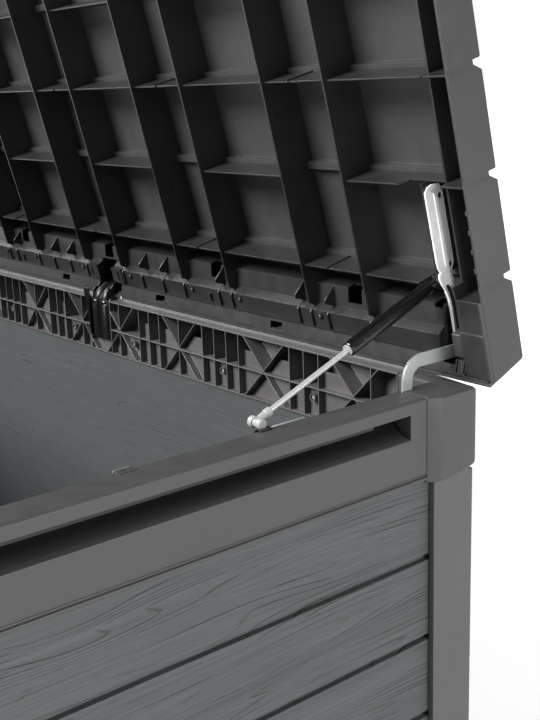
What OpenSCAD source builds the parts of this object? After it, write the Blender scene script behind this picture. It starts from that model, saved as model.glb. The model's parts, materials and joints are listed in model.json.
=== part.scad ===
// Deck storage box: a resin box with plank-look walls, a ribbed hinged lid and two gas struts.
// Row frame: origin at the middle of the base on the ground, +X to the right-hand end,
// +Y to the rear (hinge) side, +Z up. The lid is drawn at its open rest angle.

/* [Body] */
// Length over the corner caps
body_l = 1522; // [1400:1:1650]
// Depth over the corner caps
body_d = 724; // [660:1:800]
// Height of the rim's top above the ground
body_h = 585; // [560:1:640]
// Height of the rim band
rim_h = 92; // [85:1:100]
// Width of the rim at the ends and the front
rim_w = 39; // [36:1:44]
// How far the corner caps stand proud of the rim
proud = 8; // [5:1:10]
// Depth of the open ribbed rail along the rear
rail_d = 27; // [24:1:32]
// Wall thickness of the mouldings
skin = 3; // [2.5:0.5:4]
// Height of one wall plank
plank_h = 97.5; // [90:0.5:99]
// Thickness of the twin-skin walls
wall_t = 14; // [12:1:16]

/* [Handles] */
// Length of the hand slot in each end rim
slot_l = 524; // [300:2:540]
// Top of the slot below the rim's top
slot_top = 15; // [12:1:20]
// Height of the slot
slot_h = 27; // [22:1:30]

/* [Lid] */
// Angle at which the lid stands open
lid_open = 76; // [60:1:76]
// Thickness of the lid
lid_t = 56; // [50:1:60]
// Overhang of the lid beyond each corner cap
lid_over = 18.5; // [15:0.5:22]
// Pitch of the lid's planks
lid_pitch = 113; // [108:1:118]
// Number of planks across the lid
lid_planks = 7; // [6:1:7]
// Distance from the lid's rear edge to the hinge axis
hinge_in = 22.5; // [20:0.5:26]
// Hinge axis behind the body's rear face
hinge_back = 19; // [18:0.5:22]
// Hinge axis above the rim's top
hinge_up = 30; // [28:0.5:34]

/* [Struts] */
// Plane of each strut, in from the corner cap
strut_in = 58.5; // [58:0.5:60]
// Foot pivot in front of the body's rear face
foot_y = 267; // [260:1:275]
// Foot pivot above the rim's top
foot_z = 5; // [5:0.5:10]
// Diameter of the rod
rod_d = 6; // [5:0.5:8]
// Diameter of the gas tube
tube_d = 16; // [14:0.5:18]
// Length of the gas tube
tube_l = 132; // [125:1:150]

/* [Hidden] */

frame_grey = [0.36, 0.36, 0.36];
plank_grey = [0.35, 0.38, 0.39];
lid_grey = [0.30, 0.30, 0.31];
zinc = [0.82, 0.83, 0.85];
gloss_black = [0.04, 0.04, 0.05];
eps = 0.01;

// Body faces
half_l = body_l / 2;
half_d = body_d / 2;
rim_low = body_h - rim_h;
rim_x = half_l - proud;
rim_y = half_d - proud;

// Corner caps: lengths along the ends and along the front and rear
cap_end = 76;
cap_full = 61;
cap_rear = 98;
cap_h = rim_h + 4;

// Walls, behind the posts and between the rim's two skirts
wall_face = 13;
wall_top = rim_low + 30;
wall_foot = 6;
rear_face = 10;
post_w = 62;
groove_w = 8;
groove_d = 6;

// Rear rail: star nodes where the braces cross, and plain uprights between them
star_x = [58, 222, 417, 589];
star_half = 43;
upright_pitch = 27.7;
uprights = [[143, 3], [322, 4], [498.3, 3], [619, 1]];
web_top = 25;
rib = 1.8;
mid_rib_z = 47;
web_low = 10;
// Upper web pieces: from, to, and how far each upper corner leans out beyond them
web_spans = [[115.3, 143, 0, 0], [170.7, 219.5, 0, -19.5], [224.5, 280.5, -19.5, 0],
             [363.5, 414.5, 0, -19.5], [419.5, 470.6, -19.5, 0], [526, 586.5, 0, -19.5]];
screw_x = [-512, -322, -92, 92, 322, 512];
screw_z = 61;
rail_h = 87;
rail_end = half_l - cap_rear;
base_half = 30;
knuckle_half = 19.5;

// Lid, drawn closed and then turned open about the hinge axis
hinge_y = half_d + hinge_back;
hinge_z = body_h + hinge_up;
lid_rear = hinge_y + hinge_in;
lid_low = hinge_z - 27;
lid_half = half_l + lid_over;
lid_deep = lid_pitch * (lid_planks - 1) + 104;
rib_at = [56, 222, 335, 500, 606];
skin_in = lid_t - 3.5;
ridge_low = lid_t - 12.5;
skirt_up = 5;
shelf_lift = 5;
edge_up = 16;
edge_rib = half_l - 16;
pocket_in = half_l - 50;
pocket_out = half_l - 17.2;
boss_at = [73, 239, 350, 514];
leaf_half = 34;

// Gooseneck, hinge arm and pin, measured in from the corner cap
neck_x = half_l - 42.5;
neck_t = 3;
arm_x = half_l - 46.35;
arm_t = 2.5;
mount_rib = arm_x - arm_t / 2 - 1;
neck_leg = 70;
neck_w = 15;
neck_r = 14;
pin_d = 8;
pin_gap = 0.06;
stud_d = 8;
foot_pin = 5;

// Padlock lugs: the centre of their eyes with the lid shut, in the YZ plane
lock_at = [-(half_d + 7.5), body_h - 14];
lock_bore = 9;

// Struts: the foot and stud pivots with the lid open, and the same with it closed
strut_x = half_l - strut_in;
foot = [half_d - foot_y, body_h + foot_z];
stud_closed = [lid_rear - 105, lid_low + 26];
stud_open = turn(stud_closed, -76);
strut_open_l = norm(stud_open - foot);
strut_closed_l = norm(stud_closed - foot);
strut_tilt = atan2(stud_open[1] - foot[1], stud_open[0] - foot[0]);

// A point of the YZ plane turned about the hinge axis
function turn(p, a) = [
    hinge_y + (p[0] - hinge_y) * cos(a) - (p[1] - hinge_z) * sin(a),
    hinge_z + (p[0] - hinge_y) * sin(a) + (p[1] - hinge_z) * cos(a)
];

// A point of the closed lid: forward from its rear edge, and up from its underside
function lid_pt(f, u) = [lid_rear - f, lid_low + u];

// Extrudes a YZ outline along X, and an XZ outline along Y
module along_x(x0, x1) {
    translate([x0, 0, 0]) rotate([90, 0, 90]) linear_extrude(x1 - x0) children();
}

module along_y(y0, y1) {
    translate([0, y1, 0]) rotate([90, 0, 0]) linear_extrude(y1 - y0) children();
}

// A box given by its two corners
module block(a, b) {
    translate(a) cube(b - a);
}

// A round bar or bore along X
module bar_x(x0, x1, y, z, d) {
    translate([x0, y, z]) rotate([0, 90, 0]) cylinder(d = d, h = x1 - x0, $fn = 48);
}

// The same piece on the right (1) or mirrored to the left (-1)
module on_side(side) {
    if (side > 0) children();
    if (side < 0) mirror([1, 0, 0]) children();
}

// Turns a closed-lid piece to its open rest place
module lid_place() {
    translate([0, hinge_y, hinge_z]) rotate([-lid_open, 0, 0])
        translate([0, -hinge_y, -hinge_z]) children();
}

// ---------------------------------------------------------------- floor and walls

// Floor tray: a sheet on a grid of ribs that stand on the ground
module floor_panel() {
    fx = half_l - wall_face - wall_t;
    front = -half_d + wall_face + wall_t;
    rear = half_d - rear_face - wall_t;
    ribs_x = 12;
    ribs_y = 6;
    color(frame_grey) union() {
        block([-fx, front, 16], [fx, rear, 20]);
        for (i = [0 : ribs_x])
            let (x = -fx + 2 + i * (2 * fx - 4) / ribs_x)
                block([x - 2, front, 0], [x + 2, rear, 17]);
        for (j = [0 : ribs_y])
            let (y = front + 2 + j * (rear - front - 4) / ribs_y)
                block([-fx, y - 2, 0], [fx, y + 2, 17]);
        block([-30, -30, 0], [30, 30, 17]);
    }
}

// Outline of a plank wall, seen from its end: outer face at 0, inner face at wall_t,
// with one hollow chamber behind each plank
module wall_outline(top) {
    count = floor((top - wall_foot) / plank_h) + 1;
    difference() {
        translate([0, wall_foot]) square([wall_t, top - wall_foot]);
        for (i = [0 : count - 1]) {
            joint = rim_low - (i + 1) * plank_h;
            if (joint > wall_foot + 12)
                polygon([[-1, joint + groove_w], [-1, joint], [groove_d, joint + 1.5],
                         [groove_d, joint + groove_w - 2.5]]);
        }
        for (i = [0 : count - 1]) {
            z1 = min(rim_low - i * plank_h - (i == 0 ? -20 : 3), top - skin);
            z0 = max(rim_low - (i + 1) * plank_h + groove_w + skin, wall_foot + skin);
            if (z1 > z0 + 20)
                translate([skin, z0]) square([wall_t - 2 * skin, z1 - z0]);
        }
    }
}

module wall_long(front) {
    x1 = half_l - (front ? 24 : 36);
    face = front ? wall_face : rear_face;
    top = front ? wall_top : body_h - rail_h;
    color(plank_grey)
    if (front)
        translate([0, -(half_d - face), 0]) along_x(-x1, x1) wall_outline(top);
    else
        translate([0, half_d - face, 0]) mirror([0, 1, 0]) along_x(-x1, x1) wall_outline(top);
}

module wall_front() { wall_long(true); }
module wall_rear() { wall_long(false); }

module wall_end(side) {
    y0 = half_d - wall_face - wall_t;
    y1 = half_d - rear_face - wall_t;
    color(plank_grey) on_side(side)
        translate([half_l - wall_face, 0, 0]) mirror([1, 0, 0])
            along_y(-y0, y1) wall_outline(wall_top);
}

// Plan of a corner post, an angle with a cut-off outer edge and legs of the given length
function post_front_plan(arm) = [
    [-5, 14.5], [-5, arm], [-wall_face, arm], [-wall_face, wall_face + wall_t],
    [-24, wall_face + wall_t], [-24, wall_face], [-arm, wall_face], [-arm, 5], [-14.5, 5]];

function post_rear_plan(arm) = [
    [-5, -4.5], [-5, -arm], [-wall_face, -arm], [-wall_face, -rear_face - wall_t],
    [-36, -rear_face - wall_t], [-36, -rear_face], [-arm, -rear_face], [-arm, -3], [-6.5, -3]];

// Corner post from the ground to the cap, with a narrower spigot up inside the cap
function post_rear_spigot(arm) = [
    [-7, -7], [-5, -11], [-5, -arm], [-wall_face, -arm], [-wall_face, -rear_face - wall_t],
    [-36, -rear_face - wall_t], [-36, -rear_face], [-arm, -rear_face], [-arm, -5], [-11, -5]];

module post(side, rear) {
    color(frame_grey) on_side(side) translate([half_l, rear ? half_d : -half_d, 0]) union() {
        linear_extrude(body_h - cap_h)
            polygon(rear ? post_rear_plan(5 + post_w) : post_front_plan(5 + post_w));
        linear_extrude(body_h - skin - 1)
            polygon(rear ? post_rear_spigot(cap_full - 1) : post_front_plan(cap_full - 1));
    }
}

// ---------------------------------------------------------------- corner caps and rims

// Plan of a corner cap, from the corner inwards; d is the inner skirt's inset
function cap_rear_plan(t) = [
    [-2.6 - t * 0.8, -2.6 - t * 0.8], [-t, -9 - t / 3], [-t, -cap_full], [-proud - t, -cap_end],
    [-proud - rim_w + t, -cap_end],
    [-proud - rim_w + t, -rail_d + t], [-cap_rear, -rail_d + t], [-cap_rear, -t],
    [-9 - t / 3, -t]];

function cap_front_plan(t) = [
    [-t, 12 + t / 2], [-t, cap_full], [-proud - t, cap_end], [-proud - rim_w + t, cap_end],
    [-proud - rim_w + t, proud + rim_w - t], [-cap_end, proud + rim_w - t],
    [-cap_end, proud + t], [-cap_full, t], [-12 - t / 2, t]];

module cap(side, rear) {
    plan = rear ? cap_rear_plan(0) : cap_front_plan(0);
    shrunk = rear ? cap_rear_plan(1.5) : cap_front_plan(1.5);
    hollow = rear ? cap_rear_plan(skin + 2) : cap_front_plan(skin + 2);
    color(frame_grey) on_side(side) translate([half_l, rear ? half_d : -half_d, body_h])
    difference() {
        union() {
            difference() {
                union() {
                    translate([0, 0, -cap_h]) linear_extrude(cap_h - 1.5) polygon(plan);
                    translate([0, 0, -2]) linear_extrude(2) polygon(shrunk);
                }
                translate([0, 0, -cap_h - 1]) linear_extrude(cap_h - skin) polygon(hollow);
                // the lower part keeps only its outer skirt, round the walls and the post
                block([-200, rear ? -200 : wall_face, -cap_h - 1],
                      [-wall_face, rear ? -rear_face : 200, -61]);
                if (rear) along_x(-200, 10) polygon([[1, -9.5], [-10, 1], [1, 1]]);
                // the skirt rises a little towards the corner
                if (rear) along_x(-cap_full, 10) polygon([
                    [-42, -cap_h - 1], [-42, -cap_h], [-9, -cap_h + 6.5], [1, -cap_h + 8.5],
                    [1, -cap_h - 1]]);
            }
            // boss inside the rear cap that the gooseneck's leg is screwed to
            if (rear) block([-41, -cap_end, -58], [-33, -neck_leg + 10, -skin]);
        }
        if (rear) block([-44.5, -neck_leg - 9, -42], [-41, -neck_leg + 8, 10]);
    }
}

// Section of the end and front rims, outer face at 0, with a bead along the bottom
module rim_section() {
    polygon([
        [1.5, -rim_h], [1.5, -rim_h + 3.2], [-0.9, -rim_h + 4.4], [-0.9, -rim_h + 6.2],
        [0, -rim_h + 7.2], [0, -2.5], [-2.5, 0],
        [-rim_w + 2.5, 0], [-rim_w, -2.5], [-rim_w, -60], [-rim_w + skin, -60],
        [-rim_w + skin, -skin - 1], [-skin, -skin - 1], [-skin, -rim_h]]);
}

// Section of the moulded hand recess behind the slot: a roof, a back and a floor that sweeps up
module recess_section() {
    low = -slot_top - slot_h;
    polygon([
        [-0.6, -slot_top], [-0.6, -slot_top + 2.5], [-28, -slot_top + 2.5], [-28, -slot_top - 7],
        [-25, low + 14], [-18, low + 6], [-9, low - 0.8], [-0.6, low - 3],
        [-0.6, low], [-8.5, low + 1.6], [-16.5, low + 8], [-23, low + 15.5],
        [-25.5, -slot_top - 6], [-25.5, -slot_top]]);
}

module rim_end(side) {
    y0 = -half_d + cap_end;
    y1 = half_d - cap_end;
    color(frame_grey) on_side(side) translate([rim_x, 0, body_h]) union() {
        difference() {
            along_y(y0, y1) rim_section();
            block([-8, -slot_l / 2, -slot_top - slot_h], [8, slot_l / 2, -slot_top]);
            block([proud - 44.5, half_d - neck_leg - 9, -42], [proud - 41, y1 + 1, 10]);
        }
        along_y(-slot_l / 2 - 2.5, slot_l / 2 + 2.5) recess_section();
        for (s = [-1, 1])
            translate([0, s * (slot_l / 2 + 1.25), 0])
                block([-28, -1.25, -slot_top - slot_h - 3], [-0.6, 1.25, -slot_top + 2.5]);
        // lip that hangs behind the slot's upper edge, short of its rear end
        block([-6.5, -slot_l / 2 - 1, -slot_top - 3], [-4.5, slot_l / 2 - 54, -slot_top + 1]);
        // cross webs that stand on the wall
        for (s = [-1, 1])
            translate([0, s * (slot_l / 2 + 5), 0])
                block([-rim_w + 1, -1, wall_top - body_h], [-1, 1, -2]);
    }
}

module rim_left() { rim_end(-1); }
module rim_right() { rim_end(1); }

module rim_front() {
    x1 = half_l - cap_end;
    color(frame_grey) translate([0, -rim_y, body_h]) mirror([0, 1, 0]) union() {
        along_x(-x1, x1) rim_section();
        // cross webs that stand on the wall
        for (i = [-4 : 4]) translate([i * 165, 0, 0])
            block([-1, -rim_w + 1, wall_top - body_h], [1, -1, -2]);
    }
}

// One thin rib of the rear rail between two points of its XZ face
module rail_rib(a, b, y0, y1) {
    len = norm(b - a);
    translate([a[0], y0, a[1]]) rotate([0, -atan2(b[1] - a[1], b[0] - a[0]), 0])
        translate([0, 0, -rib / 2]) cube([len, y1 - y0, rib]);
}

// Rear rail: a deep open truss facing into the box, with crossed braces and uprights
module rear_rail() {
    front = half_d - rail_d;
    top = body_h;
    low = body_h - rail_h;
    deep = half_d - skin;
    color(frame_grey) difference() {
        union() {
            // outer skin with its cut-off top edge, top strip and foot strip
            along_x(-rail_end, rail_end) polygon([
                [half_d, rim_low], [half_d, top - 6], [half_d - 6, top], [half_d - 6.6, top],
                [half_d - 7, top + 2.4], [half_d - 8.8, top + 2.4], [half_d - 9.4, top], [front, top],
                [front, top - 2.2], [deep - 4, top - 2.2], [deep, top - 6.2],
                [deep, top - mid_rib_z + 1], [front, top - mid_rib_z + 1],
                [front, top - mid_rib_z - 1], [front + web_low, top - mid_rib_z - 1],
                [front + web_low, low + 2.2], [front, low + 2.2], [front, low],
                [front + web_low + 2, low], [front + web_low + 2, top - mid_rib_z - 1],
                [deep, top - mid_rib_z - 1], [deep, rim_low]]);
            // upper parts of the web, beside the braces and in one bay of each first group
            for (side = [-1, 1]) on_side(side)
                along_y(front + web_low, front + web_low + 2)
                    for (w = web_spans) translate([0, top - mid_rib_z]) polygon([
                        [w[0], 0], [w[0] - w[2], mid_rib_z - web_top],
                        [w[1] + w[3], mid_rib_z - web_top], [w[1], 0]]);
            intersection() {
                union() for (side = [-1, 1]) on_side(side) {
                    for (x = star_x) {
                        rail_rib([x - star_half, top - 1], [x + star_half, low + 1], front, deep + 1);
                        rail_rib([x - star_half, low + 1], [x + star_half, top - 1], front, deep + 1);
                    }
                    for (x = [star_x[0], star_x[1]])
                        rail_rib([x, low + 1], [x, top - 1], front, deep + 1);
                    for (u = uprights)
                        for (i = [0 : u[1] - 1])
                            let (x = u[0] + (i - (u[1] - 1) / 2) * upright_pitch)
                                rail_rib([x, low + 1], [x, top - 1], front, deep + 1);
                    for (x = [rail_end - 1, base_half + 1])
                        rail_rib([x, low + 1], [x, top - 1], front, deep + 1);
                }
                along_x(-rail_end, rail_end) polygon([
                    [front, low + 0.2], [front, top - 0.2], [half_d - 6, top - 0.2],
                    [half_d - 1, top - 7], [half_d - 1, top - mid_rib_z],
                    [front + web_low + 1, top - mid_rib_z], [front + web_low + 1, low + 0.2]]);
            }
            for (x = screw_x)
                translate([x, front + web_low + 1, top - screw_z]) rotate([90, 0, 0])
                    cylinder(d = 11, h = 9, $fn = 40);
        }
        for (x = screw_x)
            translate([x, front + web_low - 3.5, top - screw_z]) rotate([90, 0, 0])
                cylinder(d = 8, h = 15, $fn = 40);
        // bay for the middle hinge, open at the top and rear above the web
        block([-base_half, front - 1, top - 66], [base_half, front + web_low, top - mid_rib_z + 1]);
        block([-base_half, front - 1, top - mid_rib_z - 2], [base_half, half_d + 1, top + 5]);
    }
}

module pan_screw(d, h) {
    union() {
        cylinder(d = d, h = h * 0.6, $fn = 32);
        translate([0, 0, h * 0.6 - eps]) cylinder(d1 = d, d2 = d * 0.6, h = h * 0.4, $fn = 32);
    }
}

module rear_rail_screws() {
    color(zinc) for (x = screw_x)
        translate([x, half_d - rail_d + web_low - 3.5, body_h - screw_z]) rotate([90, 0, 0])
            difference() {
                pan_screw(6.6, 2.6);
                translate([0, 0, 1.6]) for (a = [0, 90]) rotate([0, 0, a])
                    translate([-2, -0.45, 0]) cube([4, 0.9, 2]);
            }
}

// ---------------------------------------------------------------- hinges on the body

// Outline of a gooseneck: up from inside the cap, round a bend and back to the hinge's eye
module neck_outline() {
    leg = half_d - neck_leg + neck_w / 2;
    low = hinge_z - neck_w / 2;
    union() {
        polygon([[leg - neck_w - 2, body_h - 38], [leg + 0.4, body_h - 38], [leg, body_h + 4],
                 [leg, low - neck_r], [leg - neck_w, low - neck_r], [leg - neck_w, body_h + 4]]);
        translate([leg + neck_r, low]) square([hinge_y - leg - neck_r, neck_w]);
        intersection() {
            translate([leg + neck_r, low - neck_r]) difference() {
                circle(r = neck_r + neck_w, $fn = 96);
                circle(r = neck_r, $fn = 96);
            }
            translate([leg - neck_w - 1, low - neck_r]) square([neck_w + neck_r + 1, 60]);
        }
        translate([hinge_y, hinge_z]) circle(r = neck_w / 2 + 1.5, $fn = 64);
    }
}

module gooseneck(side) {
    color(zinc) on_side(side) difference() {
        along_x(neck_x - neck_t / 2, neck_x + neck_t / 2) neck_outline();
        bar_x(neck_x - 3, neck_x + 3, hinge_y, hinge_z, pin_d);
    }
}

// Hinge pin: held by the gooseneck, with a head each side; the arm turns on it
module hinge_pin(side) {
    color(zinc) on_side(side) union() {
        bar_x(arm_x - 6, neck_x + neck_t / 2 + 3, hinge_y, hinge_z, pin_d);
        bar_x(arm_x - 6, arm_x - arm_t / 2 - 2, hinge_y, hinge_z, 12);
        bar_x(arm_x + arm_t / 2 + 0.3, neck_x - neck_t / 2, hinge_y, hinge_z, 12);
    }
}

// Middle hinge: a black moulding let into the rear rail, with two knuckles round the pin
module middle_hinge_base() {
    front = half_d - rail_d;
    color(gloss_black) difference() {
        union() {
            along_x(-base_half + 0.3, base_half - 0.3) polygon([
                [front + 3, body_h - 66], [front + 2, body_h - 62], [front + 2, body_h - 8],
                [front + 4, body_h + 1], [front + 9, body_h + 5], [front + 15, body_h + 5],
                [half_d - 7, body_h + 1], [half_d - 5, body_h - mid_rib_z + 1],
                [front + web_low, body_h - mid_rib_z + 1], [front + web_low, body_h - 66]]);
            along_x(-knuckle_half, knuckle_half) polygon([
                [front + 4, body_h], [front + 8, body_h + 8], [front + 16, body_h + 12],
                [hinge_y - 6, hinge_z - 4], [hinge_y + 2, hinge_z - 9],
                [half_d - 1, body_h + 5], [half_d - 7.5, body_h + 0.5]]);
            for (x = [-13, 13])
                translate([x, front + 5.5, body_h - 64]) cylinder(r = 7.5, h = 60, $fn = 40);
            for (x = [-13, 13])
                translate([x, front + 5.5, body_h - 4 - eps]) cylinder(r1 = 7.5, r2 = 4.5, h = 4, $fn = 40);
            bar_x(-knuckle_half, knuckle_half, hinge_y, hinge_z, 15);
        }
        bar_x(-base_half - 1, base_half + 1, hinge_y, hinge_z, 6);
        block([-12, hinge_y - 12, hinge_z - 10.5], [12, hinge_y + 20, hinge_z + 20]);
        block([-base_half, front + web_low, body_h - 67],
              [base_half, half_d, body_h - mid_rib_z + 1]);
    }
}

module middle_hinge_pin() {
    color(zinc) bar_x(-knuckle_half + 0.7, knuckle_half - 0.7, hinge_y, hinge_z, 6);
}

// Bracket on the end rim's inner edge that carries the strut's foot on a stud
module strut_foot(side) {
    x0 = half_l - proud - rim_w;
    color(gloss_black) on_side(side) union() {
        block([x0 - 2.5, foot[0] - 9, body_h - 16], [x0, foot[0] + 9, body_h + 1.8]);
        block([x0 - 2.5, foot[0] - 7, body_h], [x0 + 6, foot[0] + 7, body_h + 1.8]);
        bar_x(x0 - 3.5, x0, foot[0], foot[1], 9.5);
        bar_x(strut_x + 1, x0, foot[0], foot[1], foot_pin);
    }
}

// Padlock lug on the front rim: a back plate and an eye
module lock_lug_rim() {
    color(zinc) difference() {
        union() {
            block([-14, -rim_y - 2.5, body_h - 36], [20, -rim_y, body_h - 4]);
            block([1, lock_at[0], lock_at[1] - 8], [6, -rim_y - 1, lock_at[1] + 8]);
            bar_x(1, 6, lock_at[0], lock_at[1], 16);
        }
        bar_x(0, 7, lock_at[0], lock_at[1], lock_bore);
        for (x = [-9, 15]) translate([x, -rim_y + 1, body_h - 10]) rotate([90, 0, 0])
            cylinder(d = 4, h = 6, $fn = 32);
    }
}

// Small plated clip on each end rim's inner edge
module rim_clip(side) {
    x0 = half_l - proud - rim_w;
    y = half_d - 427;
    color(zinc) on_side(side) difference() {
        union() {
            block([x0 - 1.2, y - 9, body_h - 20], [x0, y + 9, body_h + 1.2]);
            block([x0 - 1.2, y - 9, body_h], [x0 + 9, y + 9, body_h + 1.2]);
            block([x0 - 7, y - 4, body_h - 5], [x0 - 1, y + 4, body_h - 3.8]);
        }
        translate([x0 + 4.5, y, body_h - 2]) cylinder(d = 3.5, h = 5, $fn = 32);
    }
}

// ---------------------------------------------------------------- lid

// Inner line of the plank skin from the front edge back, with a ridge under each joint
function lid_inner(lift) = [
    for (k = [lid_planks - 2 : -1 : 0])
        let (s = 101 + k * lid_pitch)
        each [lid_pt(s + 13.5, skin_in + lift), lid_pt(s + 13, ridge_low + lift),
              lid_pt(s + 4, ridge_low + lift), lid_pt(s - 1, skin_in + lift)]];

// The plank skin with its front and rear edges, seen from the end
module lid_skin_outline() {
    outer = [for (k = [0 : lid_planks - 2])
        let (s = 101 + k * lid_pitch)
        each [lid_pt(s, lid_t), lid_pt(s + 7, lid_t - 9.5), lid_pt(s + 12, lid_t - 9.5),
              lid_pt(s + 12.3, lid_t - 1.5), lid_pt(s + 14, lid_t)]];
    polygon(concat(
        [lid_pt(0, -3), lid_pt(3, 17), lid_pt(9, lid_t - 2.5), lid_pt(11.5, lid_t)], outer,
        [lid_pt(lid_deep - 3, lid_t), lid_pt(lid_deep, lid_t - 3), lid_pt(lid_deep + 3, 0),
         lid_pt(lid_deep - 0.5, 0), lid_pt(lid_deep - 4, skin_in)], lid_inner(0),
        [lid_pt(13, skin_in), lid_pt(6.2, 17), lid_pt(3.4, -3)]));
}

// A web across the planks, from height low up to the skin (lift takes it into the skin)
module web_outline(back, low, lift) {
    polygon(concat(
        [lid_pt(lid_deep - 0.5 + lift - low * 0.07, low),
         lid_pt(lid_deep - 4 + lift, skin_in + lift)],
        lid_inner(lift), back));
}

function straight_back(f, low) = [lid_pt(f, skin_in), lid_pt(f, low)];

// Space under the shelves that the strut, arm and gooseneck need when the lid is shut
module strut_space() {
    block([strut_x - 10, lid_rear - 135, lid_low - 10], [lid_half, lid_rear - 93, lid_low + 50]);
    along_y(lid_rear - 325, lid_rear - 200) polygon([
        [686, lid_low - 10], [686, lid_low + shelf_lift], [693, lid_low + 22],
        [edge_rib - 1.2, lid_low + 22], [edge_rib - 1.2, lid_low - 10]]);
}

// Outer moulding of the lid: planks, edges and end skirts with their small tabs
module lid_shell() {
    back = [lid_pt(12, lid_t - 2.5), lid_pt(5.2, 17), lid_pt(3.6, skirt_up)];
    color(lid_grey) lid_place() union() {
        difference() {
            along_x(-lid_half, lid_half) lid_skin_outline();
            // notch in the rear edge for the middle hinge
            block([-leaf_half, lid_rear - 8, lid_low - 5], [leaf_half, lid_rear + 1, lid_low + 14]);
            end_grooves();
        }
        for (side = [-1, 1]) on_side(side) {
            difference() {
                along_x(lid_half - skin, lid_half) web_outline(back, skirt_up, 1);
                end_grooves();
            }
            for (k = [0 : 3])
                translate([0, lid_rear - 130 - k * 21, lid_low + skirt_up + 2])
                    block([lid_half - 7, -2.5, 0], [lid_half - skin + 0.5, 2.5, 6]);
        }
    }
}

// Grooves across the lid's ends that carry the plank joints down its end skirts
module end_grooves() {
    for (side = [-1, 1]) on_side(side)
        for (k = [0 : lid_planks - 2])
            translate([lid_half, lid_rear - 101 - k * lid_pitch, lid_low - 10])
                linear_extrude(lid_t + 20) polygon([
                    [1, 0.4], [0, 0], [-1.9, -7], [-1.9, -12], [0, -12.4], [1, -12.4]]);
}

// Ribs across the planks, and the rib that the hinge arm is fixed to
module lid_ribs() {
    color(lid_grey) lid_place() for (side = [-1, 1]) on_side(side) {
        for (x = rib_at)
            along_x(x - 1.2, x + 1.2) web_outline(straight_back(80, 0), 0, 0);
        along_x(edge_rib - 1.2, edge_rib + 1.2) intersection() {
            web_outline(straight_back(80, edge_up), edge_up, 0);
            translate(lid_pt(lid_deep, 0)) square([lid_deep - 112, lid_t]);
        }
        along_x(mount_rib - 1, mount_rib + 1) intersection() {
            web_outline(straight_back(80, 13), 13, 0);
            translate(lid_pt(219, 0)) square([219 - 112, lid_t]);
        }
    }
}

// One shelf under joint k of the lid, between x0 and x1
module shelf_bar(x0, x1, k) {
    y = lid_rear - 107.5 - k * lid_pitch;
    block([x0, y - 1, lid_low + shelf_lift], [x1, y + 1, lid_low + ridge_low]);
}

// Shelves along the joints: in every wide bay, and at every other joint in the narrow ones
module lid_shelves() {
    edges = concat(rib_at, [lid_half - skin]);
    color(lid_grey) lid_place() union() {
        for (side = [-1, 1]) on_side(side) difference() {
            union() {
                for (k = [0 : lid_planks - 2])
                    for (b = [0 : len(rib_at) - 1])
                        if (b % 2 == 0 || k % 2 == 0)
                            shelf_bar(edges[b] + 1.2, edges[b + 1] - (b < 4 ? 1.2 : 0), k);
                // small raised rib across each narrow bay's shelf
                for (k = [0 : 2 : lid_planks - 2])
                    for (x = [rib_at[1] + 54, rib_at[3] + 44])
                        block([x - 1, lid_rear - 110.5 - k * lid_pitch, lid_low + shelf_lift - 2],
                              [x + 1, lid_rear - 107 - k * lid_pitch, lid_low + ridge_low]);
            }
            block([edge_rib - 1.2, lid_rear - lid_deep, lid_low - 5],
                  [edge_rib + 1.2, lid_rear - 90, lid_low + lid_t]);
            block([mount_rib - 1, lid_rear - 219, lid_low - 5],
                  [mount_rib + 1, lid_rear - 90, lid_low + lid_t]);
            strut_space();
        }
        for (k = [0 : 2 : lid_planks - 2])
            difference() {
                shelf_bar(-rib_at[0] + 1.2, rib_at[0] - 1.2, k);
                block([-3, -1000, lid_low - 5], [3, 1000, lid_low + shelf_lift + 6]);
            }
    }
}

// Boxed-in rear corner at each end of the lid, outside the hinge arm
module lid_end_blocks() {
    x0 = pocket_out;
    x1 = lid_half - skin;
    color(lid_grey) lid_place() for (side = [-1, 1]) on_side(side) union() {
        // face plate, its upper part set a little deeper, with the top that turns inwards
        along_x(x0, x1) polygon([
            lid_pt(6, 0.5), lid_pt(58, 0.5), lid_pt(58, 2.2), lid_pt(96, 2.2),
            lid_pt(96.5, ridge_low - 1), lid_pt(94.5, ridge_low - 1), lid_pt(94, 4.4),
            lid_pt(56, 4.4), lid_pt(56, 2.7), lid_pt(6, 2.7)]);
        // inner wall beside the arm, its front edge reaching out to the edge rib
        along_x(x0, x0 + 3.2) polygon([
            lid_pt(9, 0.6), lid_pt(94, 2), lid_pt(111.5, -1.8), lid_pt(111.5, ridge_low),
            lid_pt(105, ridge_low), lid_pt(100, skin_in), lid_pt(14, skin_in), lid_pt(9, 25)]);
    }
}

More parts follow.
